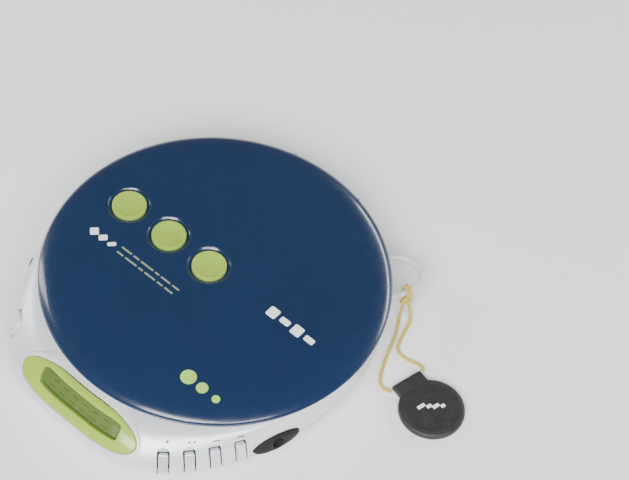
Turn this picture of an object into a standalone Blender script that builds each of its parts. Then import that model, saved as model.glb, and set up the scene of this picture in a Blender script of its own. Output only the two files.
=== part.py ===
"""A round portable disc player: a two-part case with a swollen front, a hinged lid with three buttons, four side keys,
a sloping display, the disc drive inside, a battery bay below, and a wrist strap on a lug at the back.

Metres, +Z up. The display side faces -Y. All sizes below are in millimetres, measured from the spindle."""

import bpy
import bmesh
import math
from mathutils import Matrix, Vector

MM = 0.001
SPINDLE_Y = 7.2          # the spindle lies this far behind the middle of the footprint

# ---- case ----
CASE_PLAN = ((0, 82.4), (10, 83.4), (18, 84.8), (23, 84.4), (28, 82.9), (34, 80.5), (41, 77.8), (48, 75.2),
             (56, 72.8), (65, 70.4), (75, 68.3), (87, 67.0), (102, 66.5), (180, 66.5))   # bearing from the front, radius
CASE_BASE_R = 66.5       # radius that the swell of the front is added to
SWELL = ((9.3, 0.90), (10.6, 0.965), (12.0, 1.0), (14.5, 0.935), (17.5, 0.80), (20.0, 0.635), (22.0, 0.45), (23.2, 0.27), (23.9, 0.08))
SKIN = 1.9
SEAM_Z = 11.5
SEAM_GAP = 0.3
CASE_TOP_Z = 23.9
FLOOR_Z = 1.5
FLOOR_T = 1.6
UNDER = ((9.0, 0.35), (7.5, 1.0), (5.5, 2.2), (3.8, 3.9), (2.5, 5.8), (1.5, 8.4))         # height, inset of the lower shell
STATIONS = 56

# ---- disc well and deck ----
WELL_R = 61.4
WELL_WALL = 1.4
DECK_Z = 19.2
DECK_T = 1.4

# ---- lid ----
LID_R = 68.0
LID_Z0 = 24.2
LID_PROFILE = ((0, 29.0), (28, 28.95), (46, 28.75), (56, 28.35), (61.5, 27.75), (65.2, 26.8), (67.3, 25.7), (68.0, 24.9))
LID_INNER = ((66.4, 24.2), (65.9, 24.9), (63.9, 25.6), (60.4, 26.3), (54.5, 26.85), (44, 27.15), (26, 27.35), (0, 27.4))
HINGE_Y = 65.4
HINGE_Z = 21.8
TONGUE_HALF = 17.0

# ---- controls ----
LID_BUTTON_X = (-45.0, -24.0, -3.0)
LID_BUTTON_Y = -0.9
LID_BUTTON_R = 6.8
LID_BUTTON_TOP = 29.3
LID_BUTTON_FOOT = 26.4
KEY_BEARINGS = (28.6, 35.4, 42.3, 49.6)
KEY_Z = 15.6
KEY_W = 3.7
KEY_L = 7.8
KEY_T = 2.8
KEY_PROUD = 0.7
OPEN_BEARING = -34.6
OPEN_Z = 15.9
HOLD_BEARING = -54.8
HOLD_Z = 15.6

# ---- display and jack ----
LCD_HALF = 30.0
LCD_Z = 19.0
LCD_RISE = 4.0
JACK_BEARING = 61.0
JACK_Z = 13.8

# ---- battery bay ----
BAY_X = 27.0
BAY_Y0, BAY_Y1 = 18.6, 49.4

# ---- strap ----
CORD_R = 0.7
LUG_R = 1.25
LUG_Z = 13.4
TAG_CENTRE = (91.8, 22.6)
TAG_R = 12.9
TAG_T = 3.1

for old in list(bpy.data.objects):
    bpy.data.objects.remove(old, do_unlink=True)

PARTS = bpy.data.collections.new("Portable_disc_player")
CUTTERS = bpy.data.collections.new("Cutters")
bpy.context.scene.collection.children.link(PARTS)
bpy.context.scene.collection.children.link(CUTTERS)

FRAME = bpy.data.objects.new("spindle_line", None)
FRAME.location = (0, SPINDLE_Y * MM, 0)
PARTS.objects.link(FRAME)


# ---------------------------------------------------------------- helpers
def material(name, rgb, rough, metal=0.0, alpha=1.0):
    mat = bpy.data.materials.get(name) or bpy.data.materials.new(name)
    mat.use_nodes = True
    shader = mat.node_tree.nodes["Principled BSDF"]
    shader.inputs["Base Color"].default_value = (*rgb, 1.0)
    shader.inputs["Roughness"].default_value = rough
    shader.inputs["Metallic"].default_value = metal
    shader.inputs["Alpha"].default_value = alpha
    return mat


SILVER = material("pearl_silver_plastic", (0.78, 0.80, 0.83), 0.32, 0.1)
BLUE = material("navy_gloss_plastic", (0.016, 0.05, 0.135), 0.12)
LIME = material("lime_plastic", (0.37, 0.52, 0.08), 0.35)
LIME_KEY = material("lime_button", (0.35, 0.50, 0.09), 0.4)
WINDOW = material("display_window", (0.16, 0.24, 0.07), 0.08, 0.0, 0.55)
PANEL = material("display_glass", (0.14, 0.19, 0.07), 0.25)
BLACK = material("black_plastic", (0.02, 0.02, 0.022), 0.45)
RUBBER = material("black_rubber", (0.025, 0.025, 0.026), 0.8)
GREY = material("grey_plastic", (0.22, 0.22, 0.24), 0.5)
STEEL = material("steel", (0.55, 0.56, 0.58), 0.3, 1.0)
BRASS = material("brass", (0.62, 0.45, 0.18), 0.3, 1.0)
BOARD = material("circuit_board", (0.03, 0.16, 0.07), 0.5)
CORD = material("yellow_cord", (0.55, 0.42, 0.08), 0.8)
LEATHER = material("black_leather", (0.03, 0.03, 0.03), 0.6)
CLEAR = material("milky_plastic", (0.75, 0.77, 0.79), 0.3, 0.0, 0.8)


def hermite(table, value):
    """Smooth curve through the table's stations, with slopes taken from their neighbours."""
    keys = [k for k, _ in table]
    if value <= keys[0]:
        return table[0][1]
    if value >= keys[-1]:
        return table[-1][1]
    i = max(n for n, k in enumerate(keys[:-1]) if k <= value)
    (x0, y0), (x1, y1) = table[i], table[i + 1]

    def slope(j):
        lo, hi = max(j - 1, 0), min(j + 1, len(table) - 1)
        return (table[hi][1] - table[lo][1]) / (table[hi][0] - table[lo][0])

    m0 = 0.0 if i == 0 else slope(i)
    m1 = 0.0 if i + 1 == len(table) - 1 else slope(i + 1)
    w = x1 - x0
    t = (value - x0) / w
    return ((2 * t**3 - 3 * t**2 + 1) * y0 + (t**3 - 2 * t**2 + t) * w * m0
            + (-2 * t**3 + 3 * t**2) * y1 + (t**3 - t**2) * w * m1)


def case_radius(bearing, z):
    """Radius of the case's outer face at a bearing from the front (degrees, + towards +X) and a height."""
    away = abs((bearing + 180.0) % 360.0 - 180.0)
    widest = hermite(CASE_PLAN, away)
    return CASE_BASE_R + (widest - CASE_BASE_R) * hermite(SWELL, z) - 0.5 * max(0.0, z - 22.9)


def plan_point(bearing, radius, z):
    a = math.radians(bearing)
    return Vector((radius * math.sin(a), -radius * math.cos(a), z))


def case_point(bearing, z):
    return plan_point(bearing, case_radius(bearing, z), z)


def case_frame(bearing, z):
    """Axes on the case's face: X along the face, Y up its slope, Z outwards. The origin lies on the face."""
    here = case_point(bearing, z)
    along = (case_point(bearing + 1.5, z) - case_point(bearing - 1.5, z)).normalized()
    up = (case_point(bearing, z + 1.2) - case_point(bearing, z - 1.2)).normalized()
    out = along.cross(up).normalized()
    up = out.cross(along).normalized()
    turn = Matrix((along, up, out)).transposed().to_4x4()
    return Matrix.Translation(here) @ turn


def finish(obj, mat, cutter=False, smooth=True):
    (CUTTERS if cutter else PARTS).objects.link(obj)
    if obj.parent is None:
        obj.parent = FRAME
    if cutter:
        obj.hide_render = True
        obj.display_type = "WIRE"
    else:
        obj.data.materials.append(mat)
        if smooth and obj.type == "MESH":
            obj.data.shade_smooth()
            obj.data.set_sharp_from_angle(angle=math.radians(35))
    return obj


def mesh_object(name, bm, mat=None, cutter=False, place=None, smooth=True):
    bmesh.ops.recalc_face_normals(bm, faces=bm.faces)
    bmesh.ops.scale(bm, vec=(MM, MM, MM), verts=bm.verts)
    data = bpy.data.meshes.new(name)
    bm.to_mesh(data)
    bm.free()
    obj = bpy.data.objects.new(name, data)
    if place is not None:
        m = place.copy()
        m.translation = m.translation * MM
        obj.matrix_world = m
        loc, rot, _ = m.decompose()
        obj.location = loc
        obj.rotation_mode = "QUATERNION"
        obj.rotation_quaternion = rot
    return finish(obj, mat, cutter, smooth)


def box(name, lo, hi, mat=None, cutter=False, place=None, bevel=0.0, segments=1):
    bm = bmesh.new()
    size = [h - l for l, h in zip(lo, hi)]
    mid = [(h + l) / 2 for l, h in zip(lo, hi)]
    bmesh.ops.create_cube(bm, size=1.0, matrix=Matrix.Translation(mid) @ Matrix.Diagonal((*size, 1.0)))
    obj = mesh_object(name, bm, mat, cutter, place, smooth=bevel > 0)
    if bevel:
        mod = obj.modifiers.new("Bevel", "BEVEL")
        mod.width = bevel * MM
        mod.segments = segments
    return obj


def drum(name, r, z0, z1, at=(0, 0), mat=None, cutter=False, place=None, segments=24, r_top=None):
    bm = bmesh.new()
    bmesh.ops.create_cone(bm, cap_ends=True, cap_tris=False, segments=segments, radius1=r, radius2=r_top or r,
                          depth=z1 - z0, matrix=Matrix.Translation((at[0], at[1], (z0 + z1) / 2)))
    return mesh_object(name, bm, mat, cutter, place)


def turned(name, profile, mat=None, steps=32, cutter=False, place=None, closed=False):
    """A turned piece. The profile runs from the top, down the outer side."""
    data = bpy.data.meshes.new(name)
    count = len(profile)
    edges = [(i, i + 1) for i in range(count - 1)] + ([(count - 1, 0)] if closed else [])
    data.from_pydata([(r * MM, 0, z * MM) for r, z in profile], edges, [])
    obj = bpy.data.objects.new(name, data)
    if place is not None:
        loc, rot, _ = place.decompose()
        obj.location = loc * MM
        obj.rotation_mode = "QUATERNION"
        obj.rotation_quaternion = rot
    screw = obj.modifiers.new("Screw", "SCREW")
    screw.axis = "Z"
    screw.steps = screw.render_steps = steps
    screw.use_merge_vertices = True
    screw.merge_threshold = 0.00001
    screw.use_smooth_shade = True
    return finish(obj, mat, cutter, smooth=False)


def set_of_turned(name, profile, places, mat, steps):
    """The same turned piece at several places, each its own object."""
    return [turned(f"{name}_{i + 1}", profile, mat, steps, place=place, closed=profile[0][0] > 0) for i, place in enumerate(places)]


def loft(name, rings, mat=None, cutter=False, closed=False):
    """Skins a stack of rings. Open stacks are capped at both ends."""
    bm = bmesh.new()
    rows = [[bm.verts.new(p) for p in ring] for ring in rings]
    pairs = list(zip(rows, rows[1:])) + ([(rows[-1], rows[0])] if closed else [])
    for a, b in pairs:
        n = len(a)
        for k in range(n):
            bm.faces.new((a[k], a[(k + 1) % n], b[(k + 1) % n], b[k]))
    if not closed:
        bm.faces.new(rows[0])
        bm.faces.new(rows[-1])
    return mesh_object(name, bm, mat, cutter)


def cut(obj, *cutters):
    for tool in cutters:
        mod = obj.modifiers.new(tool.name, "BOOLEAN")
        mod.operation = "DIFFERENCE"
        mod.object = tool
        mod.solver = "EXACT"


def join(obj, *tools):
    for tool in tools:
        mod = obj.modifiers.new(tool.name, "BOOLEAN")
        mod.operation = "UNION"
        mod.object = tool
        mod.solver = "EXACT"


def on_case(bearing0, radius0, s, z, h):
    """A point over the case's face: s along it from a bearing, z its height, h outwards along the face's normal."""
    bearing = bearing0 + math.degrees(s / radius0)
    f = case_frame(bearing, z)
    return f @ Vector((0, 0, h))


def fitted_slab(name, bearing0, radius0, outline, h0, h1, mat=None, cutter=False, hole=None, bands=2):
    """A slab that follows the case's curved face between two offsets. outline is a function of the turn, giving (s, z)."""
    n = 30
    turns = [2 * math.pi * (k + 0.5) / n for k in range(n)]
    bm = bmesh.new()
    if hole is None:
        s0 = sum(outline(t)[0] for t in turns) / n
        z0 = sum(outline(t)[1] for t in turns) / n
        shells = []
        for h in (h0, h1):
            centre = bm.verts.new(on_case(bearing0, radius0, s0, z0, h))
            rows = [[bm.verts.new(on_case(bearing0, radius0, s0 + (outline(t)[0] - s0) * b / bands, z0 + (outline(t)[1] - z0) * b / bands, h))
                     for t in turns] for b in range(1, bands + 1)]
            for k in range(n):
                bm.faces.new((centre, rows[0][k], rows[0][(k + 1) % n]))
            for a, b in zip(rows, rows[1:]):
                for k in range(n):
                    bm.faces.new((a[k], a[(k + 1) % n], b[(k + 1) % n], b[k]))
            shells.append(rows[-1])
        for k in range(n):
            bm.faces.new((shells[0][k], shells[0][(k + 1) % n], shells[1][(k + 1) % n], shells[1][k]))
    else:
        loops = []
        for fn, h in ((outline, h0), (outline, h1), (hole, h1), (hole, h0)):
            loops.append([bm.verts.new(on_case(bearing0, radius0, *fn(t), h)) for t in turns])
        for a, b in zip(loops, loops[1:] + loops[:1]):
            for k in range(n):
                bm.faces.new((a[k], a[(k + 1) % n], b[(k + 1) % n], b[k]))
    return mesh_object(name, bm, mat, cutter)


def tube(name, points, radius, mat, sides=2):
    """A closed tube along a path, as a mesh."""
    data = bpy.data.curves.new(name, "CURVE")
    data.dimensions = "3D"
    data.bevel_depth = radius * MM
    data.bevel_resolution = sides
    data.use_fill_caps = True
    line = data.splines.new("POLY")
    line.points.add(len(points) - 1)
    for point, at in zip(line.points, points):
        point.co = (at[0] * MM, at[1] * MM, at[2] * MM, 1.0)
    curve = bpy.data.objects.new(name + "_path", data)
    bpy.context.scene.collection.objects.link(curve)
    bpy.context.view_layer.update()
    graph = bpy.context.evaluated_depsgraph_get()
    solid = bpy.data.meshes.new_from_object(curve.evaluated_get(graph))
    bm = bmesh.new()
    bm.from_mesh(solid)
    bmesh.ops.remove_doubles(bm, verts=bm.verts, dist=0.000005)
    bmesh.ops.recalc_face_normals(bm, faces=bm.faces)
    bm.to_mesh(solid)
    bm.free()
    bpy.data.objects.remove(curve, do_unlink=True)
    obj = bpy.data.objects.new(name, solid)
    solid.materials.clear()
    return finish(obj, mat)


def smooth_path(stops, step):
    """Points along a smooth curve through the stops, about one step apart."""
    pts = [Vector(p) for p in stops]
    ends = [pts[0] * 2 - pts[1]] + pts + [pts[-1] * 2 - pts[-2]]
    dense = []
    for i in range(1, len(ends) - 2):
        p0, p1, p2, p3 = ends[i - 1:i + 3]
        for k in range(24):
            t = k / 24
            dense.append(0.5 * ((2 * p1) + (p2 - p0) * t + (2 * p0 - 5 * p1 + 4 * p2 - p3) * t * t + (3 * p1 - p0 - 3 * p2 + p3) * t**3))
    dense.append(pts[-1])
    total = sum((b - a).length for a, b in zip(dense, dense[1:]))
    count = max(2, round(total / step))
    out, run, k = [dense[0]], 0.0, 1
    for a, b in zip(dense, dense[1:]):
        seg = (b - a).length
        while k < count and run + seg >= total * k / count:
            out.append(a.lerp(b, (total * k / count - run) / seg))
            k += 1
        run += seg
    out.append(dense[-1])
    return out


def lens_outline(half, rise, z, grow=0.0, power=4.0, bow=0.5):
    def at(turn):
        c, s = math.cos(turn), math.sin(turn)
        u = math.copysign(abs(c) ** 0.75, c)
        v = math.copysign((1 - abs(u) ** power) ** bow, s)
        return (half + grow) * u, z + (rise + grow) * v
    return at


def pill_outline(half, rise, s0, z, slant=0.0, power=0.35):
    def at(turn):
        c, s = math.cos(turn), math.sin(turn)
        u = math.copysign(abs(c) ** power, c)
        v = math.copysign(abs(s) ** power, s)
        return s0 + half * u + slant * v, z + rise * v
    return at


# ---------------------------------------------------------------- case
BEARINGS = [360.0 * k / STATIONS for k in range(STATIONS)]


def case_ring(z, inset=0.0):
    return [plan_point(b, case_radius(b, z) - inset, z) for b in BEARINGS]


def round_ring(r, z):
    return [plan_point(b, r, z) for b in BEARINGS]


rings = [round_ring(WELL_R, DECK_Z), round_ring(WELL_R, CASE_TOP_Z)]
rings += [case_ring(z) for z in (23.9, 23.2, 22.0, 20.0, 17.5, 14.5, 12.5, SEAM_Z + SEAM_GAP)]
rings += [case_ring(z, SKIN) for z in (SEAM_Z + SEAM_GAP, 12.5, 14.5, 17.5, 20.0)]
rings += [[plan_point(b, case_radius(b, 22.0) - SKIN - 0.2, 22.0) for b in BEARINGS],
          round_ring(WELL_R + WELL_WALL, 22.0), round_ring(WELL_R + WELL_WALL, DECK_Z - DECK_T)]
upper_case = loft("upper_case", rings, SILVER)

rings = [case_ring_z for case_ring_z in
         ([plan_point(b, case_radius(b, 9.3) - inset, z) for b in BEARINGS] for z, inset in reversed(UNDER))]
rings += [case_ring(10.3, 0.35), case_ring(SEAM_Z, 0.35)]
inner = [[plan_point(b, case_radius(b, 9.3) - inset, z) for b in BEARINGS]
         for z, inset in ((9.0, 2.1), (7.0, 2.9), (5.0, 4.3), (FLOOR_Z + FLOOR_T, 6.6))]
inner.insert(0, case_ring(SEAM_Z, 2.1))
bottom_shell = loft("bottom_shell", rings + inner, SILVER)

# bosses under the deck, one for each case screw
SCREW_AT = ((43.0, 33.0), (-43.0, 33.0), (30.5, -50.0), (-30.5, -50.0))
for i, at in enumerate(SCREW_AT):
    join(upper_case, drum(f"cut_boss_{i}", 3.0, 3.5, 18.4, at, cutter=True, segments=16))
for i, at in enumerate(SCREW_AT):
    cut(upper_case, drum(f"cut_boss_bore_{i}", 1.3, 3.0, 12.0, at, cutter=True, segments=12))
    cut(bottom_shell, drum(f"cut_screw_hole_{i}", 1.4, 0.5, 4.5, at, cutter=True, segments=12),
        drum(f"cut_screw_seat_{i}", 2.9, 0.5, 2.3, at, cutter=True, segments=20))
set_of_turned("case_screw", [(0, 10.6), (0.95, 10.0), (0.95, 2.15), (2.5, 2.1), (2.5, 1.5), (1.7, 1.15), (0, 1.05)],
                [Matrix.Translation((x, y, 0)) for x, y in SCREW_AT], STEEL, 12)

# feet
FEET_AT = ((44.0, -44.0), (-44.0, -44.0), (45.0, 20.0), (-45.0, 20.0))
set_of_turned("foot", [(0, 1.2), (3.9, 1.2), (4.2, 0.8), (3.8, 0.0), (0, 0.0)],
                [Matrix.Translation((x, y, 0)) for x, y in FEET_AT], RUBBER, 16)

# ---------------------------------------------------------------- display
lcd_outline = lens_outline(LCD_HALF, LCD_RISE, LCD_Z)


def window_pill(half, rise):
    """The display window: a bar with soft corners whose left end leans."""
    def at(turn):
        c, s = math.cos(turn), math.sin(turn)
        u, v = math.copysign(abs(c) ** 0.28, c), math.copysign(abs(s) ** 0.28, s)
        return 0.65 + half * u - 0.85 * v * (1 - u), 20.1 + rise * v
    return at


window_outline = window_pill(21.1, 2.0)
cut(upper_case, fitted_slab("cut_display", 0, 83.0, lens_outline(LCD_HALF, LCD_RISE, LCD_Z, 0.32), -4.4, 2.0, cutter=True))
fitted_slab("lcd_bezel", 0, 83.0, lcd_outline, -1.7, 0.45, LIME, hole=window_outline)
fitted_slab("lcd_window", 0, 83.0, window_pill(20.8, 1.7), -0.95, -0.25, WINDOW)
fitted_slab("lcd_panel", 0, 83.0, pill_outline(22.6, 2.4, 0.2, 19.85, 0.0), -3.4, -2.1, PANEL)

# ---------------------------------------------------------------- jack
JACK_R0 = case_radius(JACK_BEARING, JACK_Z)


def eye(half, rise):
    def at(turn):
        c, s = math.cos(turn), math.sin(turn)
        return half * c, JACK_Z + rise * math.copysign(abs(s) ** 1.15, s)
    return at


def ring_of(radius):
    return lambda turn: (radius * math.cos(turn), JACK_Z + radius * math.sin(turn))


jack_pocket = fitted_slab("cut_jack", JACK_BEARING, JACK_R0, eye(10.0, 3.9), -3.5, 2.0, cutter=True)
cut(upper_case, jack_pocket)
cut(bottom_shell, jack_pocket)
fitted_slab("jack_grommet", JACK_BEARING, JACK_R0, eye(9.6, 3.6), -1.6, 1.2, RUBBER, hole=ring_of(2.15))
jack_frame = case_frame(JACK_BEARING, JACK_Z)
side = Matrix((jack_frame.col[0].xyz, Vector((0, 0, 1)), jack_frame.col[0].xyz.cross(Vector((0, 0, 1))))).transposed().to_4x4()
side = Matrix.Translation(case_point(JACK_BEARING, JACK_Z)) @ side
turned("headphone_jack", [(0, -13.2), (1.95, -13.2), (1.95, -2.9), (3.3, -2.9), (3.3, -14.2), (0, -14.2)], STEEL, 16, place=side)

# ---------------------------------------------------------------- side keys
for i, bearing in enumerate(KEY_BEARINGS):
    f = case_frame(bearing, KEY_Z)
    slot = box(f"cut_key_{i + 1}", (-KEY_W / 2 - 0.5, -KEY_L / 2 - 0.5, -3.6), (KEY_W / 2 + 0.5, KEY_L / 2 + 0.4, 4.0), cutter=True, place=f)
    cut(upper_case, slot, drum(f"cut_key_scoop_{i + 1}", KEY_W / 2 + 0.5, -0.9, 4.0, cutter=True, place=f @ Matrix.Translation((0, KEY_L / 2 - 0.3, 0)), segments=20))
    cut(bottom_shell, slot)
    box(f"side_key_{i + 1}", (-KEY_W / 2, -KEY_L / 2, KEY_PROUD - KEY_T), (KEY_W / 2, KEY_L / 2, KEY_PROUD), SILVER, place=f, bevel=0.45, segments=2)
key_board = fitted_slab("key_switch_board", 39.1, 77.0, pill_outline(18.2, 2.4, 0.0, KEY_Z, power=0.3), -6.6, -5.4, BOARD)
for i, bearing in enumerate(KEY_BEARINGS):
    join(key_board, box(f"cut_key_switch_{i + 1}", (-1.8, -1.7, -6.2), (1.8, 1.7, -3.5), cutter=True, place=case_frame(bearing, KEY_Z)))

# ---------------------------------------------------------------- lid release and hold switch
f = case_frame(OPEN_BEARING, OPEN_Z)
open_ring = drum("cut_open_ring", 6.9, -0.75, 4.0, cutter=True, place=f, segments=32)
open_hole = drum("cut_open_hole", 5.5, -4.0, 2.0, cutter=True, place=f, segments=28)
cut(upper_case, open_ring, open_hole)
cut(bottom_shell, open_ring, open_hole)
turned("open_button", [(0, 0.05), (3.2, 0.15), (4.7, 0.45), (5.15, 0.2), (5.15, -2.6), (0, -2.6)], SILVER, 28, place=f)
f = case_frame(HOLD_BEARING, HOLD_Z)
cut(upper_case, box("cut_hold", (-4.0, -1.5, -3.5), (4.0, 1.5, 3.0), cutter=True, place=f))
box("hold_knob", (-3.6, -1.15, -2.3), (-0.2, 1.15, 0.6), GREY, place=f, bevel=0.3)

# ---------------------------------------------------------------- deck openings
cut(upper_case, drum("cut_hub_hole", 7.0, 16.5, 20.5, cutter=True, segments=32),
    box("cut_pickup_slot", (-6.5, -61.0, 16.8), (6.5, -6.0, 20.4), cutter=True),
    box("cut_hinge_notch", (-TONGUE_HALF - 0.7, 62.45, 18.85), (TONGUE_HALF + 0.7, 75, 26), cutter=True),
    box("cut_latch_slot", (-3.6, -66.3, 20.5), (3.6, -63.5, 26), cutter=True))

# ---------------------------------------------------------------- lid
lid_shell = turned("lid_shell", list(LID_PROFILE) + [(LID_R, LID_Z0)] + list(LID_INNER), BLUE, 60)
tongue = box("cut_tongue", (-TONGUE_HALF, 63.6, 20.0), (TONGUE_HALF, 66.1, 25.6), cutter=True)
join(lid_shell, tongue, box("cut_latch_hook", (-3.0, -65.6, 19.4), (3.0, -64.1, 26.0), cutter=True),
     box("cut_latch_toe", (-3.0, -64.9, 19.4), (3.0, -63.8, 20.6), cutter=True))
along_x = Matrix.Rotation(math.radians(90), 4, "Y")
for i, x in enumerate((-TONGUE_HALF, TONGUE_HALF)):
    p = Matrix.Translation((x, HINGE_Y, HINGE_Z)) @ along_x
    cut(lid_shell, drum(f"cut_lid_pin_{i}", 0.95, -5, 5, cutter=True, place=p, segments=16))
    cut(upper_case, drum(f"cut_case_pin_{i}", 0.95, -5, 5, cutter=True, place=p, segments=16))
pin_places = [Matrix.Translation((x, HINGE_Y, HINGE_Z)) @ along_x for x in (-TONGUE_HALF, TONGUE_HALF)]
set_of_turned("hinge_pin", [(0, 3.6), (0.65, 3.6), (0.65, -3.6), (0, -3.6)], pin_places, STEEL, 12)
for i, x in enumerate(LID_BUTTON_X):
    at = (x, LID_BUTTON_Y)
    cut(lid_shell, drum(f"cut_well_{i + 1}", 8.2, 28.0, 31.0, at, cutter=True, segments=36, r_top=8.9),
        drum(f"cut_button_{i + 1}", LID_BUTTON_R + 0.35, 25.0, 31.0, at, cutter=True, segments=36))
    turned(f"lid_button_{i + 1}", [(0, 28.75), (3.6, 28.85), (5.6, 29.2), (6.3, LID_BUTTON_TOP), (LID_BUTTON_R, 28.9),
                                   (LID_BUTTON_R, LID_BUTTON_FOOT), (0, LID_BUTTON_FOOT)], LIME_KEY, 32,
           place=Matrix.Translation((x, LID_BUTTON_Y, 0)))
turned("lid_liner", [(60.8, 24.2), (60.8, 23.6), (8.0, 23.6), (8.0, 24.2)], GREY, 40, closed=True)
box("lid_board", (-54.0, -9.0, 24.6), (6.0, 7.0, 25.4), BOARD)

# ---------------------------------------------------------------- drive
chassis = box("mech_chassis", (-23.0, -66.5, 7.0), (23.0, 13.5, 8.0), STEEL)
join(chassis, box("cut_end_wall", (-18.5, -66.2, 7.5), (18.5, -64.9, 14.0), cutter=True),
     box("cut_rod_post", (-18.5, -15.0, 7.5), (-12.0, -13.7, 14.0), cutter=True))
MOUNT_AT = ((20.0, -58.0), (-20.0, -58.0), (-18.0, 9.0))
for i, at in enumerate(MOUNT_AT):
    cut(chassis, drum(f"cut_mount_{i}", 1.3, 6.0, 9.0, at, cutter=True, segments=12))
set_of_turned("mech_damper", [(3.2, 6.7), (3.2, 3.4), (1.3, 3.4), (1.3, 6.7)], [Matrix.Translation((x, y, 0)) for x, y in MOUNT_AT], RUBBER, 14)
set_of_turned("chassis_screw", [(0, 9.3), (2.1, 9.1), (2.1, 8.3), (0.95, 8.3), (0.95, 3.7), (0, 3.7)],
                [Matrix.Translation((x, y, 0)) for x, y in MOUNT_AT], STEEL, 12)
turned("spindle_motor", [(0, 11.2), (1.15, 11.2), (1.15, 16.6), (9.9, 16.6), (10.5, 16.0), (10.5, 8.3), (0, 8.3)], STEEL, 32)
turned("spindle_shaft", [(0, 23.0), (0.85, 22.8), (0.85, 11.6), (0, 11.6)], STEEL, 12)
turntable = turned("turntable", [(1.15, 23.4), (6.2, 23.4), (7.3, 22.6), (7.3, 20.5), (14.5, 20.5), (14.5, 19.6), (1.15, 19.6)], BLACK, 36, closed=True)
ball_at = [Vector((7.2 * math.cos(a), 7.2 * math.sin(a), 21.9)) for a in (math.pi / 2, math.pi / 2 + 2.0944, math.pi / 2 + 4.18879)]
for i, at in enumerate(ball_at):
    a = math.atan2(at.y, at.x)
    turn = Matrix.Rotation(a, 4, "Z")
    cut(turntable, box(f"cut_ball_{i}", (5.2, -1.3, 20.9), (9.0, 1.3, 22.9), cutter=True, place=turn))
for i, at in enumerate(ball_at):
    flat = Vector((at.x, at.y, 0)).normalized() * 6.75
    bm = bmesh.new()
    bmesh.ops.create_uvsphere(bm, u_segments=10, v_segments=7, radius=0.9, matrix=Matrix.Translation((flat.x, flat.y, 21.9)))
    mesh_object(f"chuck_ball_{i + 1}", bm, STEEL)
sled = box("pickup_sled", (-12.0, -30.5, 9.0), (12.0, -17.5, 16.4), BLACK)
join(sled, box("cut_sled_arms", (-17.2, -29.5, 13.2), (17.2, -18.5, 14.8), cutter=True))
turned("pickup_lens", [(0, 18.9), (1.7, 18.75), (1.9, 18.5), (3.5, 18.4), (3.5, 16.7), (0, 16.7)], material("lens_grey", (0.1, 0.1, 0.16), 0.2), 20,
       place=Matrix.Translation((0, -24.0, 0)))
along_y = Matrix.Rotation(math.radians(-90), 4, "X")
drum("guide_rod", 1.0, -64.6, -15.3, mat=STEEL, place=Matrix.Translation((-15.0, 0, 11.4)) @ along_y, segments=12)
grooves = [(0, -13.6), (1.1, -13.6)]
for k in range(4):
    y = -17.0 - 11.0 * k
    grooves += [(1.1, y), (0.85, y - 3.0), (1.1, y - 6.0)]
grooves += [(1.1, -64.6), (0, -64.6)]
turned("lead_screw", grooves, STEEL, 10, place=Matrix.Translation((15.0, 0, 11.4)) @ along_y)
drum("sled_motor", 3.1, -13.3, -3.4, mat=STEEL, place=Matrix.Translation((15.0, 0, 11.4)) @ along_y, segments=16)

# ---------------------------------------------------------------- electronics
bm = bmesh.new()
outline = ((27, 13), (57, 13), (60, -5), (60, -26), (50, -44), (40, -53), (36, -53), (36, -43), (27, -43))
face = bm.faces.new([bm.verts.new((x, y, 8.5)) for x, y in outline])
up = bmesh.ops.extrude_face_region(bm, geom=[face])
bmesh.ops.translate(bm, vec=(0, 0, 1.0), verts=[v for v in up["geom"] if isinstance(v, bmesh.types.BMVert)])
main_board = mesh_object("main_board", bm, BOARD, smooth=False)
join(main_board, box("cut_board_chip", (31, -10, 9.1), (45, 4, 10.9), cutter=True), box("cut_board_part", (48, -8, 9.1), (53, -3, 11.6), cutter=True))

# ---------------------------------------------------------------- battery bay
cut(bottom_shell, box("cut_bay", (-BAY_X, BAY_Y0, 0.5), (BAY_X, BAY_Y1, 4.0), cutter=True))
tray = box("battery_tray", (-BAY_X - 1.5, BAY_Y0 - 1.2, 3.5), (BAY_X + 1.5, BAY_Y1 + 1.2, 17.4), GREY)
cut(tray, box("cut_tray", (-BAY_X, BAY_Y0, 3.0), (BAY_X, BAY_Y1, 18.0), cutter=True))
mid = (BAY_Y0 + BAY_Y1) / 2
for i, x0 in enumerate((-BAY_X + 0.3, BAY_X - 0.7)):
    box(f"bay_contact_{i + 1}", (x0, mid - 11.2, 6.4), (x0 + 0.4, mid + 11.2, 14.0), STEEL)
for i, (x0, y0, way) in enumerate(((-BAY_X + 1.05, mid - 7.6, 1), (BAY_X - 1.05, mid + 7.6, -1))):
    coil = [(x0 + way * (0.35 + 2.6 * k / 26), y0 + (3.1 - 1.1 * k / 26) * math.cos(k * 0.62), 10.2 + (3.1 - 1.1 * k / 26) * math.sin(k * 0.62)) for k in range(27)]
    tube(f"bay_spring_{i + 1}", coil, 0.3, STEEL, 1)
door = box("battery_door", (-BAY_X + 0.35, BAY_Y0 + 0.35, FLOOR_Z), (BAY_X - 0.35, BAY_Y1 - 0.35, FLOOR_Z + 1.2), SILVER)
cut(door, box("cut_door_grip", (-7.0, BAY_Y0 + 1.6, 1.0), (7.0, BAY_Y0 + 3.2, 2.1), cutter=True))

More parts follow.
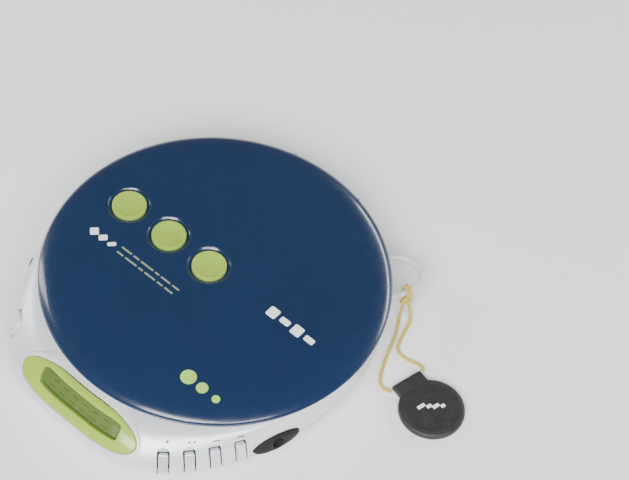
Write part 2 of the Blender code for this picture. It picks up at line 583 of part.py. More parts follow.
# ---------------------------------------------------------------- strap
lug_stops = [plan_point(147.0, 66.95, LUG_Z), plan_point(147.0, 72.0, LUG_Z), plan_point(145.6, 77.2, LUG_Z), plan_point(142.6, 81.0, LUG_Z),
             plan_point(139.0, 81.8, LUG_Z), plan_point(135.8, 79.4, LUG_Z), plan_point(133.6, 75.0, LUG_Z), plan_point(132.0, 70.5, LUG_Z), plan_point(131.6, 66.95, LUG_Z)]
tube("strap_lug", smooth_path(lug_stops, 2.4), LUG_R, CLEAR, 3)
arm_at = plan_point(133.7, 75.2, LUG_Z)
arm_way = (plan_point(134.6, 77.2, LUG_Z) - plan_point(132.8, 72.8, LUG_Z)).normalized()
turn = arm_way.to_track_quat("Z", "Y").to_matrix().to_4x4()
ring = turned("cut_strap_loop", [(1.75 + 1.05 + 1.05 * math.cos(a), 1.25 * math.sin(a)) for a in [math.pi / 2 - k * math.pi / 4 for k in range(8)]],
              CORD, 16, cutter=True, place=Matrix.Translation(arm_at) @ turn, closed=True)
KNOT_AT = Vector((54.4, 51.6, 8.6))
bm = bmesh.new()
bmesh.ops.create_uvsphere(bm, u_segments=14, v_segments=9, radius=1.0, matrix=Matrix.Translation(KNOT_AT) @ Matrix.Diagonal((2.7, 2.7, 2.6, 1.0)))
knot = mesh_object("strap_knot", bm, CORD)
join(knot, ring)
CORD_A = ((54.7, 49.6, 4.9), (55.1, 48.6, 3.2), (56.0, 46.8, 1.5), (57.6, 44.2, 0.85), (59.6, 40.6, 0.8), (61.4, 36.0, 0.8), (63.0, 31.6, 0.8), (64.9, 27.0, 0.8),
          (66.8, 22.9, 0.8), (68.9, 19.6, 0.8), (71.4, 17.8, 0.9), (73.6, 17.7, 1.2), (75.35, 18.35, 1.6))
CORD_B = ((57.0, 51.4, 4.9), (58.0, 51.0, 3.2), (59.2, 50.0, 1.5), (60.4, 47.6, 0.85), (61.4, 44.0, 0.8), (62.6, 40.0, 0.8), (64.0, 36.6, 0.8), (66.4, 34.6, 0.8),
          (69.6, 34.4, 0.8), (72.8, 35.0, 0.85), (75.4, 35.5, 1.15), (77.3, 35.1, 1.5), (78.35, 34.15, 1.6))
tube("strap_cord_a", smooth_path(CORD_A, 2.6), CORD_R, CORD)
tube("strap_cord_b", smooth_path(CORD_B, 2.6), CORD_R, CORD)
tag = drum("strap_tag", TAG_R, 0.1, 0.1 + TAG_T, TAG_CENTRE, LEATHER, segments=36)
tab_frame = Matrix.Translation((TAG_CENTRE[0], TAG_CENTRE[1], 0)) @ Matrix.Rotation(math.radians(166.5), 4, "Z")
join(tag, box("cut_tag_tab", (9.0, -6.9, 0.1), (16.4, 6.9, 0.1 + TAG_T - 0.1), cutter=True, place=tab_frame))
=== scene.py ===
"""Looks for the portable disc player: fine surfaces, materials, floor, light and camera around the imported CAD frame."""
import math

import bmesh
import bpy
import numpy as np
from mathutils import Matrix, Vector


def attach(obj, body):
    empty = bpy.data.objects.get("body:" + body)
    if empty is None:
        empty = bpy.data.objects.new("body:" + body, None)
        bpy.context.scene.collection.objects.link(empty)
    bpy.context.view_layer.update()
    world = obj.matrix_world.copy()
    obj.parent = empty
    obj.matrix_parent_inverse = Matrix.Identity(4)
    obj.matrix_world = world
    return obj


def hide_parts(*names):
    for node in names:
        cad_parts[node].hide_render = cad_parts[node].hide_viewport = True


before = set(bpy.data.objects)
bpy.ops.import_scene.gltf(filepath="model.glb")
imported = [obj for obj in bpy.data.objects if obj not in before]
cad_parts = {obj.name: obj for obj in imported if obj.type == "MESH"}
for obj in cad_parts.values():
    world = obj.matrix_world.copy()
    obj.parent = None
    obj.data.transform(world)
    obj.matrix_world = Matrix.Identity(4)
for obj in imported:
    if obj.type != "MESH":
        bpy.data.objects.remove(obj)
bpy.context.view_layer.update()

MM = 0.001
SPINDLE_Y = 7.2


def W(p):
    """Spindle millimetres to row-frame metres."""
    return Vector((p[0] * MM, (p[1] + SPINDLE_Y) * MM, p[2] * MM))


# ------------------------------------------------------------------ camera
scene = bpy.context.scene
cam_data = bpy.data.cameras.new("camera")
cam = bpy.data.objects.new("camera", cam_data)
scene.collection.objects.link(cam)
CAM_AT = (296.26, -361.73, 677.54)
back = Vector((0.342982, -0.491153, 0.800707))
right = Vector((0.757263, 0.64894, 0.073687))
up = back.cross(right).normalized()
right = up.cross(back).normalized()
cam.matrix_world = Matrix.Translation(W(CAM_AT)) @ Matrix((right, up, back.normalized())).transposed().to_4x4()
cam_data.sensor_width = 36.0
cam_data.lens = 2089.75 / 629.0 * 36.0
cam_data.clip_start = 0.01
cam_data.clip_end = 20.0
scene.camera = cam

# ------------------------------------------------------------------ shape of the case
CASE_PLAN = ((0, 82.4), (10, 83.4), (18, 84.8), (23, 84.4), (28, 82.9), (34, 80.5), (41, 77.8), (48, 75.2),
             (56, 72.8), (65, 70.4), (75, 68.3), (87, 67.0), (102, 66.5), (180, 66.5))
CASE_BASE_R = 66.5
SWELL = ((9.3, 0.90), (10.6, 0.965), (12.0, 1.0), (14.5, 0.935), (17.5, 0.80), (20.0, 0.635), (22.0, 0.45), (23.2, 0.27), (23.9, 0.08))
SKIN, SEAM_Z, SEAM_GAP = 1.9, 11.5, 0.3
WELL_R, WELL_WALL, DECK_Z, DECK_T, CASE_TOP_Z = 61.4, 1.4, 19.2, 1.4, 23.9
UNDER = ((9.0, 0.35), (7.5, 1.0), (5.5, 2.2), (3.8, 3.9), (2.5, 5.8), (1.5, 8.4))
LID_R, LID_Z0 = 68.0, 24.2
LID_PROFILE = ((0, 29.0), (28, 28.95), (46, 28.75), (56, 28.35), (61.5, 27.75), (65.2, 26.8), (67.3, 25.7), (68.0, 24.9))
LID_INNER = ((66.4, 24.2), (65.9, 24.9), (63.9, 25.6), (60.4, 26.3), (54.5, 26.85), (44, 27.15), (26, 27.35), (0, 27.4))
KEY_BEARINGS, KEY_Z, KEY_W, KEY_L, KEY_T, KEY_PROUD = (28.6, 35.4, 42.3, 49.6), 15.6, 3.7, 7.8, 2.8, 0.7
OPEN_BEARING, OPEN_Z = -34.6, 15.9
HOLD_BEARING, HOLD_Z = -54.8, 15.6
LCD_HALF, LCD_RISE, LCD_Z = 30.0, 4.0, 19.0
JACK_BEARING, JACK_Z = 61.0, 13.8
LID_BUTTON_X, LID_BUTTON_Y, LID_BUTTON_R, LID_BUTTON_TOP, LID_BUTTON_FOOT = (-45.0, -24.0, -3.0), -0.9, 6.8, 29.3, 26.4
TAG_CENTRE, TAG_R, TAG_T = (91.8, 22.6), 12.9, 3.1
LUG_Z, LUG_R, CORD_R = 13.4, 1.25, 0.7


def hermite(table, value):
    keys = [k for k, _ in table]
    if value <= keys[0]:
        return table[0][1]
    if value >= keys[-1]:
        return table[-1][1]
    i = max(n for n, k in enumerate(keys[:-1]) if k <= value)
    (x0, y0), (x1, y1) = table[i], table[i + 1]

    def slope(j):
        lo, hi = max(j - 1, 0), min(j + 1, len(table) - 1)
        return (table[hi][1] - table[lo][1]) / (table[hi][0] - table[lo][0])

    m0 = 0.0 if i == 0 else slope(i)
    m1 = 0.0 if i + 1 == len(table) - 1 else slope(i + 1)
    w = x1 - x0
    t = (value - x0) / w
    return ((2 * t**3 - 3 * t**2 + 1) * y0 + (t**3 - 2 * t**2 + t) * w * m0
            + (-2 * t**3 + 3 * t**2) * y1 + (t**3 - t**2) * w * m1)


def case_radius(bearing, z):
    away = abs((bearing + 180.0) % 360.0 - 180.0)
    widest = hermite(CASE_PLAN, away)
    return CASE_BASE_R + (widest - CASE_BASE_R) * hermite(SWELL, z) - 0.5 * max(0.0, z - 22.9)


def plan_point(bearing, radius, z):
    a = math.radians(bearing)
    return Vector((radius * math.sin(a), -radius * math.cos(a), z))


def case_point(bearing, z):
    return plan_point(bearing, case_radius(bearing, z), z)


def case_frame(bearing, z):
    here = case_point(bearing, z)
    along = (case_point(bearing + 1.5, z) - case_point(bearing - 1.5, z)).normalized()
    upw = (case_point(bearing, z + 1.2) - case_point(bearing, z - 1.2)).normalized()
    out = along.cross(upw).normalized()
    upw = out.cross(along).normalized()
    return Matrix.Translation(here) @ Matrix((along, upw, out)).transposed().to_4x4()


def on_case(bearing0, radius0, s, z, h):
    return case_frame(bearing0 + math.degrees(s / radius0), z) @ Vector((0, 0, h))


# ------------------------------------------------------------------ mesh helpers
def build(name, verts, faces, mat, smooth=30, cutter=False):
    data = bpy.data.meshes.new(name)
    data.from_pydata([W(v) for v in verts], [], faces)
    bm = bmesh.new()
    bm.from_mesh(data)
    bmesh.ops.recalc_face_normals(bm, faces=bm.faces)
    bm.to_mesh(data)
    bm.free()
    obj = bpy.data.objects.new(name, data)
    scene.collection.objects.link(obj)
    if mat is not None:
        data.materials.append(mat)
    if smooth:
        data.shade_smooth()
        data.set_sharp_from_angle(angle=math.radians(smooth))
    return obj


def grid_faces(rows, cols, closed_rows=False, closed_cols=True, base=0):
    out = []
    for i in range(rows if closed_rows else rows - 1):
        for k in range(cols if closed_cols else cols - 1):
            a, b = base + i * cols, base + ((i + 1) % rows) * cols
            out.append((a + k, a + (k + 1) % cols, b + (k + 1) % cols, b + k))
    return out


def loft(name, rings, mat, closed=False, smooth=30):
    n = len(rings[0])
    verts = [p for ring in rings for p in ring]
    faces = grid_faces(len(rings), n, closed)
    if not closed:
        faces += [tuple(range(n))[::-1], tuple((len(rings) - 1) * n + k for k in range(n))]
    return build(name, verts, faces, mat, smooth)


def lathe(name, profile, mat, steps=96, place=None, closed=False, smooth=30):
    place = place or Matrix()
    verts, rows = [], []
    for r, z in profile:
        if r < 1e-6:
            rows.append([len(verts)])
            verts.append(place @ Vector((0, 0, z)))
        else:
            rows.append([len(verts) + k for k in range(steps)])
            verts += [place @ Vector((r * math.cos(2 * math.pi * k / steps), r * math.sin(2 * math.pi * k / steps), z)) for k in range(steps)]
    faces = []
    pairs = list(zip(rows, rows[1:])) + ([(rows[-1], rows[0])] if closed else [])
    for a, b in pairs:
        for k in range(steps):
            quad = [a[k % len(a)], a[(k + 1) % len(a)], b[(k + 1) % len(b)], b[k % len(b)]]
            face = tuple(v for i, v in enumerate(quad) if v not in quad[:i])
            if len(face) > 2:
                faces.append(face)
    return build(name, verts, faces, mat, smooth)


def block(name, lo, hi, mat, place=None, bevel=0.3, segments=3):
    bm = bmesh.new()
    size = [h - l for l, h in zip(lo, hi)]
    mid = [(h + l) / 2 for l, h in zip(lo, hi)]
    bmesh.ops.create_cube(bm, size=1.0, matrix=(place or Matrix()) @ Matrix.Translation(mid) @ Matrix.Diagonal((*size, 1.0)))
    if bevel:
        bmesh.ops.bevel(bm, geom=bm.edges[:] + bm.verts[:], offset=bevel, segments=segments, profile=0.6, affect="EDGES")
    verts = [v.co.copy() for v in bm.verts]
    faces = [tuple(v.index for v in f.verts) for f in bm.faces]
    bm.free()
    return build(name, verts, faces, mat, 35 if bevel else 0)


def tube_path(stops, step):
    pts = [Vector(p) for p in stops]
    ends = [pts[0] * 2 - pts[1]] + pts + [pts[-1] * 2 - pts[-2]]
    dense = []
    for i in range(1, len(ends) - 2):
        p0, p1, p2, p3 = ends[i - 1:i + 3]
        for k in range(24):
            t = k / 24
            dense.append(0.5 * ((2 * p1) + (p2 - p0) * t + (2 * p0 - 5 * p1 + 4 * p2 - p3) * t * t + (3 * p1 - p0 - 3 * p2 + p3) * t**3))
    dense.append(pts[-1])
    total = sum((b - a).length for a, b in zip(dense, dense[1:]))
    count = max(2, round(total / step))
    out, run, k = [dense[0]], 0.0, 1
    for a, b in zip(dense, dense[1:]):
        seg = (b - a).length
        while k < count and run + seg >= total * k / count:
            out.append(a.lerp(b, (total * k / count - run) / seg))
            k += 1
        run += seg
    out.append(dense[-1])
    return out


def sweep(name, path, section, mat, closed=False, smooth=60):
    """Runs a section, given as a function of (turn, distance) -> (u, v), along a path with a steady frame."""
    n = len(path)
    tang = []
    for i in range(n):
        a, b = (path[(i - 1) % n], path[(i + 1) % n]) if closed else (path[max(i - 1, 0)], path[min(i + 1, n - 1)])
        tang.append((b - a).normalized())
    ref = Vector((0, 0, 1)) if abs(tang[0].z) < 0.9 else Vector((1, 0, 0))
    side = (ref - tang[0] * ref.dot(tang[0])).normalized()
    sides = [side]
    for i in range(1, n):
        side = (sides[-1] - tang[i] * sides[-1].dot(tang[i])).normalized()
        sides.append(side)
    m = 16
    verts, run = [], 0.0
    for i in range(n):
        if i:
            run += (path[i] - path[i - 1]).length
        other = tang[i].cross(sides[i])
        for k in range(m):
            u, v = section(2 * math.pi * k / m, run)
            verts.append(path[i] + sides[i] * u + other * v)
    faces = grid_faces(n, m, closed)
    if not closed:
        faces += [tuple(range(m))[::-1], tuple((n - 1) * m + k for k in range(m))]
    return build(name, verts, faces, mat, smooth)


def apply_all(obj):
    dg = bpy.context.evaluated_depsgraph_get()
    new = bpy.data.meshes.new_from_object(obj.evaluated_get(dg))
    obj.modifiers.clear()
    obj.data = new
    return obj


def cut(obj, tools, op="DIFFERENCE"):
    for t in tools:
        mod = obj.modifiers.new("b", "BOOLEAN")
        mod.operation, mod.object, mod.solver = op, t, "EXACT"
    apply_all(obj)
    for t in tools:
        bpy.data.objects.remove(t, do_unlink=True)
    obj.data.shade_smooth()
    obj.data.set_sharp_from_angle(angle=math.radians(28))
    mod = obj.modifiers.new("weighted", "WEIGHTED_NORMAL")
    mod.keep_sharp = True
    mod.weight = 80
    return obj


def lens_outline(half, rise, z, grow=0.0, power=4.0, bow=0.5):
    def at(turn):
        c, s = math.cos(turn), math.sin(turn)
        u = math.copysign(abs(c) ** 0.75, c)
        v = math.copysign(max(0.0, 1 - abs(u) ** power) ** bow, s)
        return (half + grow) * u, z + (rise + grow) * v
    return at


def pill_outline(half, rise, s0, z, slant=0.0, power=0.35):
    def at(turn):
        c, s = math.cos(turn), math.sin(turn)
        u = math.copysign(abs(c) ** power, c)
        v = math.copysign(abs(s) ** power, s)
        return s0 + half * u + slant * v, z + rise * v
    return at


def case_slab(name, bearing0, radius0, loops, mat, n=120, caps=True, smooth=35):
    """loops: list of (outline function, offset outwards) skinned in order over the case's face."""
    turns = [2 * math.pi * (k + 0.5) / n for k in range(n)]
    verts = []
    for fn, h in loops:
        verts += [on_case(bearing0, radius0, *fn(t), h) for t in turns]
    faces = grid_faces(len(loops), n, closed_rows=not caps)
    if caps:
        for row, sign in ((0, 1), (len(loops) - 1, -1)):
            fn, h = loops[row]
            s0 = sum(fn(t)[0] for t in turns) / n
            z0 = sum(fn(t)[1] for t in turns) / n
            inner = []
            for share in (0.75, 0.5, 0.25):
                inner.append(len(verts))
                verts += [on_case(bearing0, radius0, s0 + (fn(t)[0] - s0) * share, z0 + (fn(t)[1] - z0) * share, h) for t in turns]
            centre = len(verts)
            verts.append(on_case(bearing0, radius0, s0, z0, h))
            last = row * n
            for start in inner:
                faces += [(last + k, last + (k + 1) % n, start + (k + 1) % n, start + k) for k in range(n)]
                last = start
            faces += [(last + k, last + (k + 1) % n, centre) for k in range(n)]
    return build(name, verts, faces, mat, smooth)


# ------------------------------------------------------------------ materials
def material(name, base, rough=0.4, metal=0.0, coat=0.0, coat_rough=0.05, tone=0.06, tone_scale=60.0, rough_var=0.08, rough_scale=220.0,
             bump=0.0, bump_scale=900.0, wear=None, wear_amount=0.25, alpha=1.0, transmission=0.0, ior=1.46, specular=0.5, pattern=None, sheen=0.0, subsurface=0.0):
    """Procedural finish: uneven tone, uneven gloss, fine bump, and paler or darker rubbed edges."""
    mat = bpy.data.materials.new(name)
    mat.use_nodes = True
    nt = mat.node_tree
    n, l = nt.nodes, nt.links
    p = n["Principled BSDF"]
    coord = n.new("ShaderNodeTexCoord")
    mapping = n.new("ShaderNodeMapping")
    l.new(coord.outputs["Object"], mapping.inputs["Vector"])

    def noise(scale, detail=4.0, roughness=0.55):
        t = n.new("ShaderNodeTexNoise")
        t.inputs["Scale"].default_value = scale
        t.inputs["Detail"].default_value = detail
        t.inputs["Roughness"].default_value = roughness
        l.new(mapping.outputs["Vector"], t.inputs["Vector"])
        return t

    tone_noise = noise(tone_scale)
    ramp = n.new("ShaderNodeValToRGB")
    lo = [max(0.0, c * (1 - tone)) for c in base]
    hi = [min(1.0, c * (1 + tone)) for c in base]
    ramp.color_ramp.elements[0].position, ramp.color_ramp.elements[0].color = 0.3, (*lo, 1)
    ramp.color_ramp.elements[1].position, ramp.color_ramp.elements[1].color = 0.7, (*hi, 1)
    l.new(tone_noise.outputs["Fac"], ramp.inputs["Fac"])
    colour = ramp.outputs["Color"]
    if wear is not None:
        geo = n.new("ShaderNodeNewGeometry")
        edge = n.new("ShaderNodeValToRGB")
        edge.color_ramp.elements[0].position = 0.52
        edge.color_ramp.elements[1].position = 0.62
        l.new(geo.outputs["Pointiness"], edge.inputs["Fac"])
        breakup = noise(400.0, 6.0)
        mult = n.new("ShaderNodeMath")
        mult.operation = "MULTIPLY"
        l.new(edge.outputs["Color"], mult.inputs[0])
        l.new(breakup.outputs["Fac"], mult.inputs[1])
        amount = n.new("ShaderNodeMath")
        amount.operation = "MULTIPLY"
        amount.inputs[1].default_value = wear_amount
        l.new(mult.outputs[0], amount.inputs[0])
        mix = n.new("ShaderNodeMix")
        mix.data_type = "RGBA"
        mix.inputs["B"].default_value = (*wear, 1)
        l.new(amount.outputs[0], mix.inputs["Factor"])
        l.new(colour, mix.inputs["A"])
        colour = mix.outputs["Result"]
    if pattern is not None:
        colour = pattern(nt, mapping, colour)
    l.new(colour, p.inputs["Base Color"])
    rough_noise = noise(rough_scale, 6.0)
    rmap = n.new("ShaderNodeMapRange")
    rmap.inputs["From Min"].default_value, rmap.inputs["From Max"].default_value = 0.3, 0.7
    rmap.inputs["To Min"].default_value = max(0.02, rough - rough_var)
    rmap.inputs["To Max"].default_value = min(1.0, rough + rough_var)
    l.new(rough_noise.outputs["Fac"], rmap.inputs["Value"])
    l.new(rmap.outputs["Result"], p.inputs["Roughness"])
    if bump:
        b = n.new("ShaderNodeBump")
        b.inputs["Strength"].default_value = min(1.0, bump)
        b.inputs["Distance"].default_value = 0.00012
        l.new(noise(bump_scale, 3.0).outputs["Fac"], b.inputs["Height"])
        l.new(b.outputs["Normal"], p.inputs["Normal"])
    p.inputs["Metallic"].default_value = metal
    p.inputs["Coat Weight"].default_value = coat
    p.inputs["Coat Roughness"].default_value = coat_rough
    p.inputs["Alpha"].default_value = alpha
    p.inputs["Transmission Weight"].default_value = transmission
    p.inputs["IOR"].default_value = ior
    p.inputs["Specular IOR Level"].default_value = specular
    p.inputs["Sheen Weight"].default_value = sheen
    if subsurface:
        p.inputs["Subsurface Weight"].default_value = subsurface
        p.inputs["Subsurface Scale"].default_value = 0.002
    return mat


def wave_bump(mat, scale, strength, distance, direction="Z", kind="BANDS"):
    """Adds ridges, such as a cord's lay or knurling, in series with the fine bump."""
    nt = mat.node_tree
    p = nt.nodes["Principled BSDF"]
    wave = nt.nodes.new("ShaderNodeTexWave")
    wave.wave_type = kind
    if kind == "BANDS":
        wave.bands_direction = direction
    wave.inputs["Scale"].default_value = scale
    wave.inputs["Distortion"].default_value = 1.5
    wave.inputs["Detail"].default_value = 2.0
    coord = nt.nodes.new("ShaderNodeTexCoord")
    nt.links.new(coord.outputs["Object"], wave.inputs["Vector"])
    b = nt.nodes.new("ShaderNodeBump")
    b.inputs["Strength"].default_value = strength
    b.inputs["Distance"].default_value = distance
    nt.links.new(wave.outputs["Fac"], b.inputs["Height"])
    if p.inputs["Normal"].is_linked:
        nt.links.new(p.inputs["Normal"].links[0].from_socket, b.inputs["Normal"])
    nt.links.new(b.outputs["Normal"], p.inputs["Normal"])
    return mat


SILVER = material("pearl_silver", (0.70, 0.725, 0.76), rough=0.34, metal=0.22, coat=0.35, coat_rough=0.18, tone=0.035, tone_scale=45, rough_var=0.05,
                  bump=0.10, bump_scale=4200, wear=(0.52, 0.54, 0.56), wear_amount=0.35)
SILVER_LOW = material("pearl_silver_lower", (0.62, 0.64, 0.67), rough=0.40, metal=0.2, coat=0.2, coat_rough=0.25, tone=0.05, tone_scale=40, bump=0.16, bump_scale=3200,
                      wear=(0.45, 0.46, 0.48), wear_amount=0.4)
KEY_SILVER = material("key_silver", (0.72, 0.74, 0.77), rough=0.28, metal=0.45, coat=0.4, coat_rough=0.12, tone=0.04, tone_scale=120, bump=0.06, bump_scale=3000,
                      wear=(0.5, 0.5, 0.52), wear_amount=0.5)
NAVY = material("navy_gloss", (0.0045, 0.0185, 0.060), rough=0.27, metal=0.0, coat=0.7, coat_rough=0.12, tone=0.05, tone_scale=30, rough_var=0.05,
                bump=0.03, bump_scale=5200, wear=(0.012, 0.035, 0.09), wear_amount=0.25, specular=0.5)
LIME = material("lime_gloss", (0.31, 0.46, 0.045), rough=0.30, coat=0.35, coat_rough=0.12, tone=0.05, tone_scale=70, bump=0.06, bump_scale=3000, wear=(0.5, 0.62, 0.2), wear_amount=0.35)
LIME_KEY = material("lime_button", (0.29, 0.44, 0.05), rough=0.42, coat=0.15, coat_rough=0.2, tone=0.07, tone_scale=110, bump=0.16, bump_scale=2600,
                    wear=(0.56, 0.66, 0.3), wear_amount=0.6, subsurface=0.08)
PANEL = material("display_glass", (0.105, 0.165, 0.035), rough=0.34, coat=0.1, coat_rough=0.05, tone=0.12, tone_scale=90, bump=0.02)
# dark colour of the faint display segments, also used for the painted shade strips along the display's lower and left
# edges
SEGMENT_AND_SHADE = material("display_segment_and_painted_shade", (0.03, 0.045, 0.015), rough=0.3, tone=0.1)
WINDOW = material("display_window", (0.16, 0.24, 0.06), rough=0.10, rough_var=0.03, tone=0.05, alpha=0.16, specular=0.35)
RUBBER = material("black_rubber", (0.010, 0.010, 0.011), specular=0.3, rough=0.62, rough_var=0.12, tone=0.15, tone_scale=200, bump=0.35, bump_scale=2400, wear=(0.07, 0.07, 0.075), wear_amount=0.5)
DARK = material("black_plastic", (0.018, 0.018, 0.02), rough=0.5, tone=0.12, tone_scale=150, bump=0.3, bump_scale=1800, wear=(0.08, 0.08, 0.085), wear_amount=0.4)
GREY = material("grey_plastic", (0.17, 0.172, 0.18), rough=0.5, tone=0.08, tone_scale=120, bump=0.3, bump_scale=2000, wear=(0.3, 0.3, 0.31), wear_amount=0.4)
STEEL = material("plated_steel", (0.60, 0.60, 0.61), rough=0.26, metal=1.0, tone=0.07, tone_scale=160, rough_var=0.1, bump=0.12, bump_scale=1500, wear=(0.8, 0.8, 0.8), wear_amount=0.4)
PCB = material("circuit_board", (0.018, 0.11, 0.045), rough=0.4, coat=0.5, coat_rough=0.15, tone=0.25, tone_scale=700, bump=0.4, bump_scale=900)
LENS = material("pickup_lens", (0.05, 0.04, 0.12), rough=0.06, coat=1.0, coat_rough=0.02, tone=0.3, tone_scale=300)
MILKY = material("milky_plastic", (0.80, 0.82, 0.84), rough=0.25, coat=0.5, coat_rough=0.08, tone=0.03, tone_scale=120, bump=0.05, bump_scale=1600, transmission=0.35, ior=1.45,
                 wear=(0.9, 0.9, 0.9), wear_amount=0.3, subsurface=0.25)
CORD = material("yellow_cord", (0.56, 0.42, 0.05), rough=0.75, tone=0.22, tone_scale=900, bump=0.8, bump_scale=3500, sheen=0.4)
LEATHER = material("black_leather", (0.020, 0.020, 0.021), rough=0.52, rough_var=0.12, tone=0.2, tone_scale=260, bump=0.9, bump_scale=1400, wear=(0.09, 0.09, 0.09), wear_amount=0.6)
THREAD = material("dark_thread", (0.05, 0.05, 0.05), rough=0.8, tone=0.2, tone_scale=1500, bump=0.6, bump_scale=4000)
WHITE_PRINT = material("white_print", (0.82, 0.83, 0.84), rough=0.35, tone=0.03, tone_scale=500, bump=0.05)
LIME_PRINT = material("lime_print", (0.36, 0.60, 0.10), rough=0.35, tone=0.04, tone_scale=500, bump=0.05)
DULL_PRINT = material("dull_print", (0.22, 0.27, 0.16), rough=0.4, tone=0.08, tone_scale=700)
DARK_PRINT = material("dark_print", (0.10, 0.10, 0.11), rough=0.4, tone=0.06, tone_scale=700)


# ------------------------------------------------------------------ cords first
arm_at = plan_point(133.7, 75.2, LUG_Z)
arm_way = (plan_point(134.6, 77.2, LUG_Z) - plan_point(132.8, 72.8, LUG_Z)).normalized()
KNOT_AT = Vector((54.4, 51.6, 8.6))
CORD_A = ((54.7, 49.6, 4.9), (55.1, 48.6, 3.2), (56.0, 46.8, 1.5), (57.6, 44.2, 0.85), (59.6, 40.6, 0.8), (61.4, 36.0, 0.8), (63.0, 31.6, 0.8), (64.9, 27.0, 0.8),
          (66.8, 22.9, 0.8), (68.9, 19.6, 0.8), (71.4, 17.8, 0.9), (73.6, 17.7, 1.2), (75.35, 18.35, 1.6))
CORD_B = ((57.0, 51.4, 4.9), (58.0, 51.0, 3.2), (59.2, 50.0, 1.5), (60.4, 47.6, 0.85), (61.4, 44.0, 0.8), (62.6, 40.0, 0.8), (64.0, 36.6, 0.8), (66.4, 34.6, 0.8),
          (69.6, 34.4, 0.8), (72.8, 35.0, 0.85), (75.4, 35.5, 1.15), (77.3, 35.1, 1.5), (78.35, 34.15, 1.6))


def two_ply(radius, pitch=3.4):
    def section(turn, run):
        a = turn - 2 * math.pi * run / pitch
        r = radius * (0.80 + 0.20 * abs(math.cos(a)))
        return r * math.cos(turn), r * math.sin(turn)
    return section


for letter, stops in (("a", CORD_A), ("b", CORD_B)):
    path = tube_path(stops, 0.35)
    strand = sweep(f"cord_{letter}", path, two_ply(CORD_R), CORD)
    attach(strand, "case")
    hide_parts(f"strap_cord_{letter}")

# knot: the cord's two turns round the lug and a close lump below them
turn_to = arm_way.to_track_quat("Z", "Y").to_matrix()
knot_parts = []
for shift in (-0.62, 0.62):
    ring = []
    for k in range(40):
        a = 2 * math.pi * k / 40
        ring.append(arm_at + turn_to @ Vector((2.15 * math.cos(a), 2.15 * math.sin(a), shift + 0.25 * math.sin(a * 2))))
    knot_parts.append(sweep(f"knot_ring_{'ab'[shift > 0]}", ring, two_ply(0.62, 3.0), CORD, closed=True))
lump = []
for k in range(150):
    a = 2 * math.pi * k / 150
    x, y, z = math.sin(a) + 2 * math.sin(2 * a), math.cos(a) - 2 * math.cos(2 * a), -math.sin(3 * a)
    lump.append(KNOT_AT + Vector((x * 0.68, y * 0.68, z * 1.45)))
knot_parts.append(sweep("knot_lump", lump, two_ply(0.72, 3.0), CORD, closed=True))
knot_parts.append(sweep("knot_riser_a", tube_path([arm_at + Vector((1.1, -1.6, -1.6)), arm_at + Vector((1.0, -1.6, -3.0)), KNOT_AT + Vector((0.3, -0.4, 0.6))], 0.35), two_ply(0.62, 3.0), CORD))
knot_parts.append(sweep("knot_riser_b", tube_path([arm_at + Vector((-0.6, 1.2, -1.9)), arm_at + Vector((-0.4, 1.0, -3.2)), KNOT_AT + Vector((-0.3, 0.6, 0.6))], 0.35), two_ply(0.62, 3.0), CORD))
knot_parts.append(sweep("knot_tail_a", tube_path([KNOT_AT + Vector((0.0, -1.0, -0.6)), KNOT_AT + Vector((0.3, -1.8, -2.2)), Vector(CORD_A[0]) + Vector((0, 0.05, 0.15))], 0.35), two_ply(0.68, 3.0), CORD))
knot_parts.append(sweep("knot_tail_b", tube_path([KNOT_AT + Vector((1.0, 0.2, -0.6)), KNOT_AT + Vector((2.0, 0.0, -2.2)), Vector(CORD_B[0]) + Vector((-0.05, 0, 0.15))], 0.35), two_ply(0.68, 3.0), CORD))
for part in knot_parts:
    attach(part, "case")
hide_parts("strap_knot")

# tag: a soft disc with a hemmed tab
tab_turn = math.radians(166.5)
tab_dir = Vector((math.cos(tab_turn), math.sin(tab_turn), 0))
tab_side = Vector((-math.sin(tab_turn), math.cos(tab_turn), 0))
centre = Vector((TAG_CENTRE[0], TAG_CENTRE[1], 0.1))


def tag_outline(share, n=160):
    """Outline of disc and tab together, share shrinks it towards the middle."""
    pts = []
    for k in range(n):
        a = 2 * math.pi * k / n
        c, s = math.cos(a), math.sin(a)
        r = TAG_R
        u, v = r * c, r * s
        if c > 0.78:
            # the tab: a bar 13.4 wide whose far edge is 16.3 out
            half, far = 6.7, 16.3
            ray_u = far / c
            ray_v = half / max(abs(s), 1e-6)
            r = max(TAG_R, min(ray_u, ray_v))
            u, v = r * c, r * s
        pts.append((u * share, v * share))
    return pts


loops = []
for inset, z in ((1.1, 0.0), (0.45, 0.12), (0.1, 0.5), (0.0, 1.1), (0.0, 1.9), (0.12, 2.5), (0.5, 2.88), (1.2, 3.02), (2.2, 3.05)):
    share = 1 - inset / TAG_R
    loops.append([centre + tab_dir * u + tab_side * v + Vector((0, 0, z)) for u, v in tag_outline(share)])
tag = loft("tag_disc", loops, LEATHER, smooth=40)
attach(tag, "case")
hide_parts("strap_tag")
# stitches round the disc and along the hem, one mesh of small raised loops
def stitches(name, places, mat):
    verts, faces = [], []
    for at, way in places:
        up_way = Vector((0, 0, 1))
        side_way = way.cross(up_way)
        base = len(verts)
        stops = (-1, -0.8, -0.45, 0, 0.45, 0.8, 1)
        for t in stops:
            thick = 0.13 * math.sqrt(max(0.03, 1 - t * t * 0.9))
            for k in range(8):
                a = 2 * math.pi * k / 8
                verts.append(at + way * (t * 0.52) + side_way * (thick * math.cos(a)) + up_way * (0.1 * (1 - t * t) - 0.03 + thick * math.sin(a)))
        faces += grid_faces(len(stops), 8, base=base)
        faces += [tuple(base + k for k in range(8))[::-1], tuple(base + (len(stops) - 1) * 8 + k for k in range(8))]
    return build(name, verts, faces, mat, 60)


